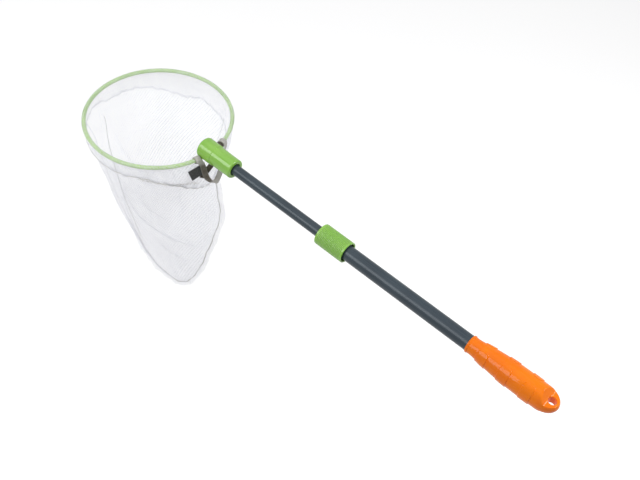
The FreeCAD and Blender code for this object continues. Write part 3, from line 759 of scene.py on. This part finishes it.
seam = {
    "width": 0.0092,
    "topWidth": 0.0028,
    "leftTopWidth": 0.0012,
    "leftStart": 0.20,  # depth from which the left margin widens
    "widenOver": 0.09,
    "threadRadius": 0.0006,
    "threadIn": 0.0006,  # the stitching's distance from the margin's inner edge
    "rows": 260,
    "bands": 6,
}


def makeSeams():
    # the sewn margin that stands out along both sides and round the tip
    deepest = bag["depth"]
    tops = [hemDepth(turn + bag["seamTurn"]) - 0.002 for turn in (0.0, 180.0)]
    right, left = (np.linspace(top, deepest, seam["rows"]) for top in tops)
    bottom = np.linspace(0, pi, 30)[1:-1]
    turn = np.concatenate([0 * right, bottom, 0 * left + pi])
    depth = np.concatenate([right, deepest + bag["tipDroop"] * np.sin(bottom), left[::-1]])
    inner = bagPoints(turn, depth)
    # the right margin is full size soon below the hem; the left one only near the tip
    onLeft = turn > pi / 2
    start = np.where(onLeft, seam["leftStart"], 0.0)
    ease = np.clip((depth - start) / seam["widenOver"], 0, 1)
    topWidth = np.where(onLeft, seam["leftTopWidth"], seam["topWidth"])
    width = topWidth + (seam["width"] - topWidth) * ease
    flatNormal = np.cross(along, down - across * sin(lean))
    outwards = unit(np.cross(flatNormal, np.gradient(inner, axis=0)))
    outwards *= np.sign(((inner - inner.mean(axis=0)) * outwards).sum(axis=1))[:, None]
    for smoothing in range(2):
        outwards = unit(np.array([outwards[max(0, i - 5):i + 6].mean(axis=0) for i in range(len(outwards))]))
    length = runAlong(inner)
    wave = 0.0010 * wavy(length, 0.027) + 0.0005 * wavy(length, 0.011, 1)
    # the stitching wanders, and the raw edge isn't cut quite even
    wander = 0.0006 * wavy(length, 0.046) + 0.0003 * wavy(length, 0.019, 2)
    width = width * (1 + 0.07 * wavy(length, 0.061, 1) + 0.04 * wavy(length, 0.023))
    points, spots, gather = [], [], []
    for band in np.linspace(0, 1, seam["bands"]):
        out = width * band + 0.0003 * sin(band * 3) * np.sin(length * 260)
        points.append(inner + outwards * out[:, None] + flatNormal * (wave * band)[:, None])
        spots.append(np.stack([width * band, length], axis=-1))
        gather.append(0.15 + 0.4 * (1 - band) ** 3 + 0 * length)
    faces = gridFaces(seam["bands"], len(inner))
    piece = addPiece("seamMargin", points, faces, "seam", "net", "white_hem", spots, np.array(gather))
    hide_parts("seam_binding")
    slim = np.where(onLeft, 0.25, 0.28)
    # low on the right the seam stands on edge and looks heavier
    bold = 1 + 0.6 * np.exp(-((depth - 0.31) / 0.045) ** 2) * np.cos(turn / 2) ** 4
    radius = seam["threadRadius"] * (slim + (1 - slim) * ease) * bold
    line = inner + outwards * (seam["threadIn"] + wander * ease)[:, None]
    addThread("seamThread", line, radius)


def makeHemThread():
    # the doubled stitching along the hem's lower edge, thicker on the near side
    degrees = np.linspace(-180, 180, 900)
    turn = seamAngle(degrees)
    path = bagPoints(turn, hemDepth(degrees) + 0.0004 * hemWave(degrees, 97), 0.0009)
    return addThread("hemThread", path, 0.00032 - 0.00013 * np.sin(turn), 0.25)


def makeFoldThread(name, fold, radius):
    # sewing that shows along a stitched fold of the far panel, on its inner face and below the hem
    route = smoothRoute(folds["far"][fold][0], 160)
    route = route[route[:, 1] > 42]
    turn, depth = np.radians(route[:, 0]), route[:, 1] / 1000
    ridges = foldHeight(turn, depth, "far")[0]
    addThread(name, bagPoints(turn, depth, ridges - 0.0006), radius)


fringe = {
    # the raw edge inside the sewn line, left of the head: degrees round the hoop, depth in millimetres
    "edge": ((-58, 22), (-50, 26), (-42, 31), (-33, 35.5), (-25, 38.7), (-16.5, 43.7), (-9, 52)),
    "threads": 130,
    "reach": (1.5, 5.0),  # millimetres
    "slant": (-2.2, 2.2),  # degrees
    "curl": (-0.9, 0.9),
    "radius": (0.00011, 0.00021),
}


def makeFringe():
    # loose ends of the net along the raw edge, most of them pointing down
    edge = np.array(fringe["edge"], float)
    rng = np.random.default_rng(7)
    run = np.linspace(0, 1, 6)
    points, faces = [], []
    for place in np.linspace(0.05, len(edge) - 1.05, fringe["threads"]):
        degrees, depth = smoothCurve(np.arange(len(edge)), edge, place)
        reach = rng.uniform(*fringe["reach"]) * (1 if rng.random() < 0.75 else -1.3)
        slant = rng.uniform(*fringe["slant"])
        curl = rng.uniform(*fringe["curl"])
        turn = seamAngle(degrees + slant * run + curl * run**2)
        path = bagPoints(turn, (depth + reach * run) / 1000, 0.0013 + 0.0008 * rng.random() * run)
        more, added = ropeMesh(path, rng.uniform(*fringe["radius"]), sides=4)
        faces += [tuple(i + len(points) for i in face) for face in added]
        points += more
    addPiece("rawEdgeThreads", points, faces, "stitch", "net", "white_hem")


nearPanel = makePanel("nearPanel", "near_mesh_panel", "near", 180.0)
farPanel = makePanel("farPanel", "far_mesh_panel", "far", 0.0)
hemBand = makeHem()
makeSeams()
hemThread = makeHemThread()
makeFoldThread("leftFoldThread", 0, 0.0003)
makeFoldThread("rightFoldThread", 1, 0.00018)
makeFringe()
print("bag made")


# tapes and label

tape = {
    "width": 0.0088,
    "thick": 0.0009,
    "steps": 140,
    # routes: degrees round the hoop, millimetres outwards from the rod, height, turn of the width from
    # Y towards X, roll
    "hanging": (
        (-10.8, 5.3, 1.5, 11, 0), (-9.0, 6.7, -5.3, 13, 0), (-7.8, 7.6, -15.75, 18, 0),
        (-6.8, 7.9, -27.3, 24, 0), (-4.8, 8.4, -40.0, 38, 0), (-1.2, 9.3, -50.95, 62, -14),
        (0.9, 10.0, -53.2, 72, -4), (2.9, 10.5, -50.6, 80, 0), (5.2, 11.0, -42.2, 76, 0),
        (6.9, 10.8, -34.2, 78, 0), (11.2, 9.4, -18.0, 118, 0), (15.0, 7.2, -4.5, 153, 0),
        (16.4, 5.3, 1.5, 164, 0),
    ),
    "cross": (
        (16.4, -0.5, -5.4, 106, 0), (11.6, -1.4, -11.5, 100, 0), (6.1, 0.0, -18.5, 90, 0),
        (1.0, 2.2, -23.5, 70, 0), (-3.0, 3.4, -26.5, 46, 0), (-6.1, 3.3, -31.0, 26, 0),
        (-8.2, 3.0, -38.0, 18, 0),
    ),
}


def roundHoop(degrees, outwards, height):
    reach = hoopRadius + outwards / 1000
    angle = np.radians(degrees)
    flat = np.stack([reach * np.cos(angle), reach * np.sin(angle), np.asarray(height) / 1000], axis=-1)
    return hoopCentre + flat


def softOutline(half, thin, ends, faces, count):
    # a flat section with soft corners: half its width and thickness, and how square its ends and faces are
    circle = [(cos(a), sin(a)) for a in fullTurn(count)]
    return [(copysign(abs(c) ** ends, c) * half, copysign(abs(s) ** faces, s) * thin) for c, s in circle]


def makeTape(name, node, route, finish, slot):
    # a flat tape with rounded selvedges, led along its route
    route = np.array(route, float)
    path = smoothRoute(roundHoop(route[:, 0], route[:, 1], route[:, 2]), tape["steps"])
    turn, roll = np.radians(smoothRoute(route[:, 3:], tape["steps"])).T
    profile = softOutline(tape["width"] / 2, tape["thick"] / 2, 0.35, 0.42, 24)
    points, spots = [], []
    tangents = unit(np.gradient(path, axis=0))
    for spot, tangent, angle, lift, run in zip(path, tangents, turn, roll, runAlong(path)):
        wide = np.array([sin(angle), cos(angle), 0])
        wide = unit(wide - tangent * wide.dot(tangent))
        wide = wide * cos(lift) + np.cross(tangent, wide) * sin(lift)
        thick = np.cross(tangent, wide)
        wave = 1 + 0.02 * sin(run * 900)
        for w, t in profile:
            points.append(spot + wide * w * wave + thick * t)
            spots.append((w, run))
    piece = addPiece(name, points, tubeFaces(len(path), len(profile)), finish, "net", slot, spots)
    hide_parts(node)


loop = {"inner": 0.0004, "outer": 0.0022, "around": 64, "edge": 28}  # inner and outer stand off the rod


def makeTapeLoop(name, node, degrees, width):
    # a soft turn of tape round the rod, its edges rolled over
    inner, outer = rodRadius + loop["inner"], rodRadius + loop["outer"]
    outline = softOutline(width / 2, (outer - inner) / 2, 0.4, 0.5, loop["edge"])
    outline = [(w, (inner + outer) / 2 + t) for w, t in outline]
    middle = roundHoop(degrees, 0.0, 0.0)
    angle = radians(degrees)
    tangent = np.array([-sin(angle), cos(angle), 0])
    radial = np.array([cos(angle), sin(angle), 0])
    points, spots = [], []
    for turn in fullTurn(loop["around"]):
        bulge = 0.0003 + 0.0003 * cos(turn * 2) + 0.0002 * sin(turn * 5)
        direction = radial * cos(turn) + np.array([0, 0, 1]) * sin(turn)
        for w, reach in outline:
            lift = bulge if reach > inner + 0.0003 else 0
            points.append(middle + tangent * w + direction * (reach + lift))
            spots.append((w, turn * outer))
    faces = gridFaces(loop["around"], len(outline), closed=True, looped=True)
    finish, slot = ("greyTape", "grey_tape") if node else ("darkTape", "dark_tape")
    piece = addPiece(name, points, faces, finish, "net", slot, spots)
    if node:
        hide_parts(node)


label = {
    "width": 0.020,
    "height": 0.0215,
    "degrees": -13.4,
    "out": 4.3,
    "drop": -21.2,
    "tilt": 16.5,
    "gap": 0.00045,  # half the gap inside the fold
    "thick": 0.00028,
    "bow": 0.0004,
}


def makeLabel():
    # a strip of woven cloth folded double at its lower edge, a little bowed
    degrees = label["degrees"]
    placing = Matrix.Translation(Vector(roundHoop(degrees, label["out"], label["drop"])))
    placing = placing @ Matrix.Rotation(radians(degrees), 4, "Z")
    placing = placing @ Matrix.Rotation(radians(label["tilt"]), 4, "X")
    half, height, gap = label["width"] / 2, label["height"] / 2, label["gap"]
    rise = list(np.linspace(height, -height + gap, 26))
    outline = [(gap + 0.00005, z) for z in rise]
    outline += arc(0, -height + gap, gap, gap, 0, -pi, 9)[1:-1]
    outline += [(-gap - 0.00005, z) for z in rise[::-1]]
    widths = np.linspace(-half, half, 30)
    runs = runAlong(np.array(outline))
    points, spots = [], []
    for thin in (label["thick"] / 2, -label["thick"] / 2):
        for (x, z), run in zip(outline, runs):
            folded = abs(z + height) <= gap
            side, dip = (0, -thin) if folded else (copysign(1, x) * thin, 0)
            for y in widths:
                bow = label["bow"] * sin(y / half * 2.2 + z * 90)
                points.append(tuple(placing @ Vector((x * 0.8 + side + bow, y, z + dip))))
                spots.append((y, run))
    # the two faces of the cloth and the rim between them
    grid = np.arange(len(outline) * len(widths)).reshape(len(outline), len(widths))
    rim = [*grid[0], *grid[1:, -1], *grid[-1, -2::-1], *grid[-2:0:-1, 0]]
    faces = gridFaces(*grid.shape)
    faces += [tuple(i + grid.size for i in face[::-1]) for face in faces]
    faces += [(a, b, b + grid.size, a + grid.size) for a, b in zip(rim, rim[1:] + rim[:1])]
    piece = addPiece("clothLabel", points, faces, "label", "net", "label_cloth", spots)
    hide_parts("woven_label")


makeTape("hangingTape", "hanging_tape", tape["hanging"], "greyTape", "grey_tape")
makeTape("crossTape", "cross_tape", tape["cross"], "darkTape", "dark_tape")
makeTapeLoop("leftTapeLoop", "left_tape_loop", -10.9, 0.0094)
makeTapeLoop("rightTapeLoop", "right_tape_loop", 16.4, 0.0090)
makeTapeLoop("crossTapeTurn", None, 11.4, 0.0098)
makeLabel()
print("tapes and label made")


# collar and grip, turned about the pole

def turnedPoints(start, stations, radii):
    # points in metres on rings about the pole; start, stations and radii in millimetres
    angle = fullTurn(radii.shape[1])
    x = np.broadcast_to((stations + start)[:, None], radii.shape)
    return np.stack([x, radii * np.sin(angle), radii * np.cos(angle)], axis=-1) / 1000


def makeCollar():
    # twist collar with fine rings and finer lengthwise ribs, plain at its two rims
    low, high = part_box("lock_collar")
    start, length, radius = low[0] * 1000, (high[0] - low[0]) * 1000, high[2] * 1000
    edge, bore, nose, noseAt = (collar[key] for key in ("edge", "bore", "noseBore", "noseAt"))
    rings = [(noseAt, nose), (noseAt * 0.5, nose), (0.3, nose), (0.0, nose + 0.3)]
    rings += [(0.0, r) for r in np.linspace(nose + 0.6, radius - edge, 6)]
    rings += arc(edge, radius - edge, edge, edge, pi - 0.15, pi / 2, 7)
    rings += [(x, radius) for x in np.arange(edge + 0.3, length - edge - 0.15, 0.2)]
    rings += arc(length - edge, radius - edge, edge, edge, pi / 2, 0.15, 7)
    rings += [(length, r) for r in (radius - edge, bore + 0.5, bore + 0.2)]
    rings += [(x, bore) for x in (length - 0.2, length - 6, noseAt + 8, noseAt)] + [(noseAt, nose + 2)]
    rings = np.array(rings)
    stations, radii = rings[:, 0], rings[:, 1:]
    first, last, fade = collar["plainEnd"], length - collar["plainEnd"], collar["ribFade"]
    ribbed = np.clip((stations - first) / fade, 0, 1) * np.clip((last - stations) / fade, 0, 1)
    ribbed = ribbed[:, None] * (radii > radius - edge)
    crests = 0.5 + 0.5 * np.cos((stations - first) * 2 * pi / collar["ribPitch"])[:, None]
    lines = 0.5 + 0.5 * np.cos(fullTurn(collar["columns"]) * collar["lengthRibs"])
    cut = (collar["ribDepth"] * crests**2 + collar["lengthRibDepth"] * lines**3) * ribbed
    points = turnedPoints(start, stations, radii - cut)
    faces = gridFaces(*cut.shape, closed=True, looped=True)
    piece = addPiece("ribbedCollar", points, faces, "collar", "collar", "green_plastic")
    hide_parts("lock_collar")


grip = {
    "length": 132.0,
    "bore": 11.05,
    "boreDepth": 104.0,
    "beadLength": 3.6,
    "beadRadius": 12.6,
    # distance from the front face, radius
    "side": ((3.6, 11.75), (8.0, 11.75), (26.0, 14.1), (50.0, 16.4), (79.0, 17.4), (108.0, 17.05)),
    "domeLength": 24.0,
    "pads": (17.0, 51.0, 85.0),  # each pad's front edge
    "padLength": 15.0,
    "padHeight": 1.0,
    "padCorner": 5.0,
    "channel": 6.0,  # half the smooth channel along the top
    "flat": 6.5,  # half the thickness over the hang hole
    "flatFrom": 100.0,
    "crease": 116.5,
    "ramp": 1.319,  # climb for each millimetre forward of the crease
    "soften": 1.9,
    "edgeSoften": 0.66,
    "hole": 5.6,
    "holeAt": 121.8,
    "holeEdge": 0.8,
    "holeColumns": 96,
    "columns": 400,
}


def padLift(x, y):
    # height of the raised pads: rear edges crisp, front edges eased
    lift = np.zeros(np.broadcast(x, y).shape)
    corner, half = grip["padCorner"], grip["padLength"] / 2
    for start in grip["pads"]:
        behind = x - start - half
        qx, qy = np.abs(behind) - half + corner, grip["channel"] - np.abs(y) + corner
        gap = np.minimum(np.maximum(qx, qy), 0) + np.hypot(np.maximum(qx, 0), np.maximum(qy, 0)) - corner
        wide = np.where(behind > 0, 0.30, 0.48)
        t = np.clip(0.5 - gap / (2 * wide), 0, 1)
        lift = lift + grip["padHeight"] * t * t * (3 - 2 * t)
    return lift


def gripStations(last):
    # close together where the pads' edges and the flat's crease are
    marks = [start + edge for start in grip["pads"] for edge in (0.0, grip["padLength"])]
    stations, x = [], grip["beadLength"] + 0.3
    while x < last:
        stations.append(x)
        gap = min(abs(x - mark) for mark in marks)
        x += 0.11 if gap < 0.7 else 0.3 if gap < 5.2 or x > grip["flatFrom"] else 0.8
    return stations


def cutHangHole(piece, start):
    # a spool with flared ends takes out the hole and eases its two edges
    edge, flat, hole = grip["holeEdge"], grip["flat"], grip["hole"]
    columns = grip["holeColumns"]
    spool = [(-flat - 6, hole + edge)] + arc(edge - flat, hole + edge, edge, edge, pi, 1.5 * pi, 9)
    spool += [(-z, r) for z, r in spool[::-1]]
    centre = start + grip["holeAt"]
    points = [(centre + r * cos(a), r * sin(a), z) for z, r in spool for a in fullTurn(columns)]
    cutter = addMesh("holeCutter", np.array(points) / 1000, tubeFaces(len(spool), columns), finishes["grip"])
    cut = piece.modifiers.new("hole", "BOOLEAN")
    cut.operation, cut.solver, cut.object = "DIFFERENCE", "EXACT", cutter
    bpy.context.view_layer.update()
    made = bpy.data.meshes.new_from_object(piece.evaluated_get(bpy.context.evaluated_depsgraph_get()))
    piece.modifiers.clear()
    piece.data = made
    bpy.data.objects.remove(cutter)
    made.polygons.foreach_set("use_smooth", [True] * len(made.polygons))


def makeGrip():
    # rings from the end of the bore to the front, round the bead, along the side and over the dome
    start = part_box("handle_grip")[0][0] * 1000
    bore, depth, side = grip["bore"], grip["boreDepth"], np.array(grip["side"])
    half, foot = grip["beadLength"] / 2, side[0, 1] - 0.2
    last = grip["length"] - grip["domeLength"]
    rings = [(depth, 0.05), (depth, bore), (depth * 0.6, bore), (depth * 0.3, bore), (0.3, bore)]
    rings += [(0.1, bore + 0.1)] + arc(half, foot, half, grip["beadRadius"] - foot, pi, 0, 15)[1:-1]
    outerFrom = len(rings)
    stations = gripStations(last)
    rings += zip(stations, smoothCurve(side[:, 0], side[:, 1], stations))
    rings += arc(last, 0, grip["domeLength"], side[-1, 1], pi / 2, 0, 90)[:-1]
    rings = np.array(rings + [(grip["length"], 0.05)])
    outer = np.arange(len(rings))[:, None] >= outerFrom
    radii = rings[:, 1:].repeat(grip["columns"], axis=1)
    radii = radii + padLift(rings[:, :1], radii * np.sin(fullTurn(grip["columns"]))) * outer
    points = turnedPoints(start, rings[:, 0], radii)
    # the flat over the hang hole, and the ramp up from its crease
    x, z, soften = rings[:, :1], points[..., 2] * 1000, grip["soften"]
    climb = (grip["crease"] - x) * grip["ramp"]
    ceiling = grip["flat"] + 0.5 * (climb + np.sqrt(climb**2 + soften**2)) - soften * 0.12
    gap = np.abs(z) - ceiling
    drop = 0.5 * (gap + np.sqrt(gap**2 + grip["edgeSoften"] ** 2)) * outer * (x > grip["flatFrom"])
    points[..., 2] = np.sign(z) * np.maximum(np.abs(z) - drop, 0) / 1000
    faces = tubeFaces(len(rings), grip["columns"])
    piece = addPiece("mouldedGrip", points, faces, "grip", "handle", "orange_grip")
    cutHangHole(piece, start)
    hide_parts("handle_grip")


makeCollar()
makeGrip()
print("collar and grip made")


# floor, light and camera

studio = {
    "floorLevel": -0.402,
    "floorReach": 9.0,
    "floorTone": (0.60, 0.60, 0.605),
    "floorSpeck": (0.57, 0.57, 0.57),
    "floorGlow": 0.53,
    "white": (1.0, 1.0, 1.0),
    "ambient": 0.40,
}
lamps = {
    # place, the spot it faces, width, height, power
    "topSoftbox": ((-0.9, -0.1, 1.9), (-0.40, 0.0, -0.1), 2.2, 1.6, 5.2),
    "nearSoftbox": ((-1.20, -1.50, 1.32), (-1.20, 0.0, 0.0), 1.6, 1.12, 24.5),
    "rimLamp": ((0.45, 0.62, 0.95), (-0.20, 0.0, 0.0), 0.45, 0.45, 11.0),
}
photoCamera = {
    "place": (0.1223, -0.6398, 0.9072),
    "right": (0.7329, 0.6764, 0.0736),
    "down": (0.5463, -0.5206, -0.6562),
    "forward": (-0.4055, 0.5211, -0.7510),
    "lens": 50.0,
    "sensor": 36.0,
    "shift": 0.00078,
    "clip": (0.05, 40.0),
}


def raysSeen(paint):
    # 1 for what the camera, a reflection or a clear piece sees
    kinds = ("Is Camera Ray", "Is Glossy Ray", "Is Transmission Ray")
    seen = [paint.node("ShaderNodeLightPath", {}, {}, kind) for kind in kinds]
    return seen[0].calc("MAXIMUM", seen[1]).calc("MAXIMUM", seen[2])


def makeFloor():
    paint = Paint("paleFloor")
    grain = paint.noise(paint.place(), 0.004, 2.0)
    tone = paint.blend(grain * 0.03, studio["floorTone"], studio["floorSpeck"])
    matt = {"Base Color": tone, "Roughness": 0.9, "Specular IOR Level": 0.0}
    glow = {"Color": studio["white"], "Strength": raysSeen(paint) * studio["floorGlow"]}
    shaders = [paint.node("ShaderNodeBsdfPrincipled", {}, matt), paint.node("ShaderNodeEmission", {}, glow)]
    reach = studio["floorReach"]
    corners = [(-reach, -reach, 0), (reach, -reach, 0), (reach, reach, 0), (-reach, reach, 0)]
    both = paint.surface(paint.node("ShaderNodeAddShader", {}, shaders))
    floor = addMesh("floor", corners, [(0, 1, 2, 3)], both)
    floor.location = (-0.35, 0, studio["floorLevel"])


def makeWorld():
    # white to the eye, dimmer as a light
    paint = Paint("studioWorld", world=True)
    seen = raysSeen(paint)
    sky = {"Color": studio["white"], "Strength": seen + (1 - seen) * studio["ambient"]}
    scene.world = paint.surface(paint.node("ShaderNodeBackground", {}, sky))


def addLamp(name, place, aim, wide, high, power):
    light = bpy.data.lights.new(name, "AREA")
    light.shape = "RECTANGLE"
    light.size, light.size_y = wide, high
    light.energy = power
    lamp = addObject(name, light)
    lamp.location = place
    lamp.rotation_euler = (Vector(aim) - Vector(place)).to_track_quat("-Z", "Y").to_euler()


def makeCamera():
    view = bpy.data.cameras.new("photoCamera")
    view.sensor_fit, view.sensor_width = "HORIZONTAL", photoCamera["sensor"]
    view.lens = photoCamera["lens"]
    view.shift_x, view.shift_y = -photoCamera["shift"], photoCamera["shift"]
    view.clip_start, view.clip_end = photoCamera["clip"]
    camera = addObject("photoCamera", view)
    right, down, forward = (Vector(photoCamera[key]) for key in ("right", "down", "forward"))
    turned = Matrix((right, -down, -forward)).transposed().to_quaternion().to_matrix().to_4x4()
    camera.matrix_world = Matrix.Translation(photoCamera["place"]) @ turned
    scene.camera = camera


makeFloor()
makeWorld()
for name, lamp in lamps.items():
    addLamp(name, *lamp)
makeCamera()
print("studio made")
